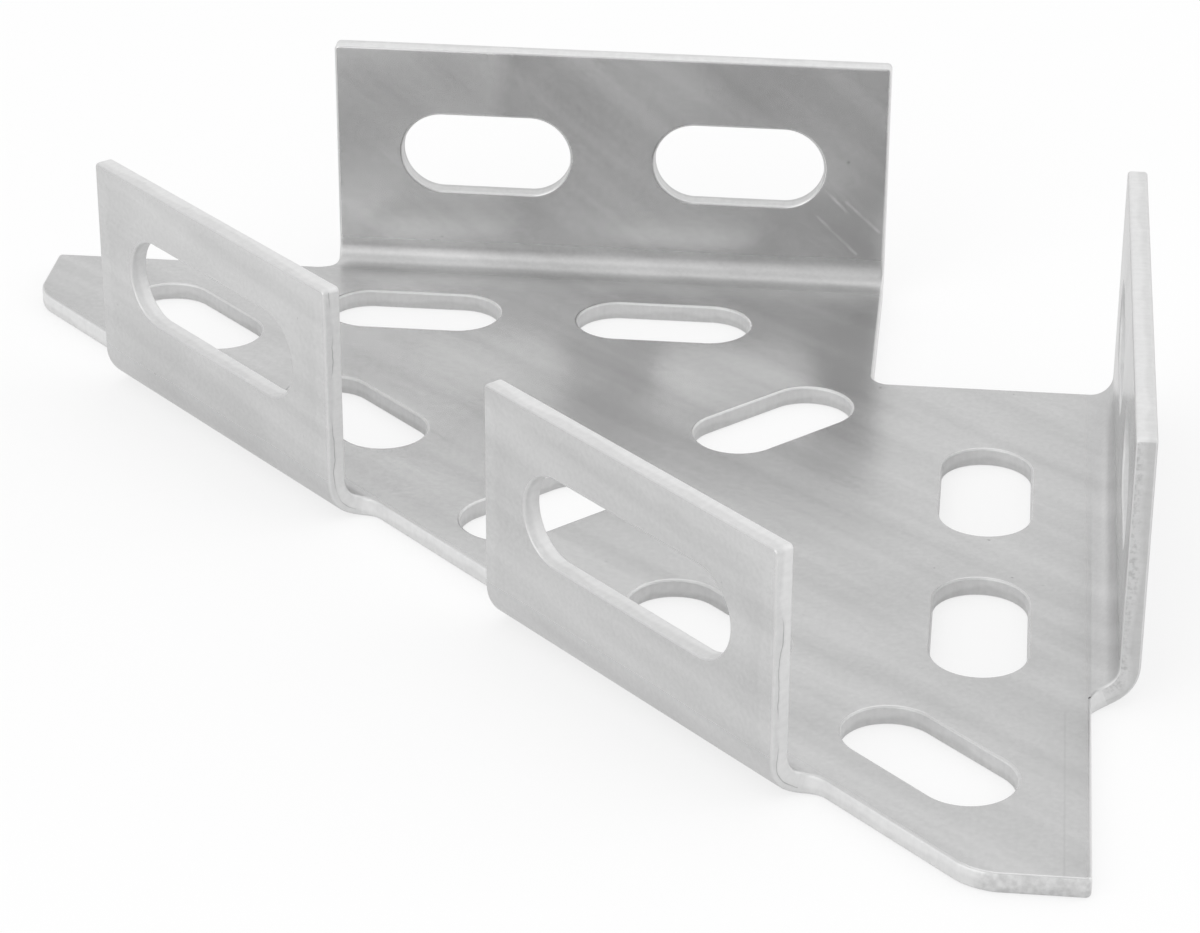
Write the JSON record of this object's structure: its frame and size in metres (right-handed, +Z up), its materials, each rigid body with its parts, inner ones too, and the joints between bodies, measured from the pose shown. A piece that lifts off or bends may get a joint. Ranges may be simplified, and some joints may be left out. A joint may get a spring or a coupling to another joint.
{
  "type": "strut gusset plate",
  "caption": "Triangular folded steel gusset plate with a notched corner, upturned flanges and long slots, for bolting strut channel at a right-angle corner.",
  "frame": {"origin": "middle of the part's outline, on the underside of the plate", "axes": "+Z up out of the plate; the legs run along X and Y, with the notched corner at +X +Y"},
  "size_m": [0.1794, 0.1794, 0.0413],
  "materials": {
    "zinc_steel": "bright zinc coating on rolled sheet, satin"
  },
  "bodies": {
    "root": {"gusset_plate": "zinc_steel"}
  },
  "joints": []
}
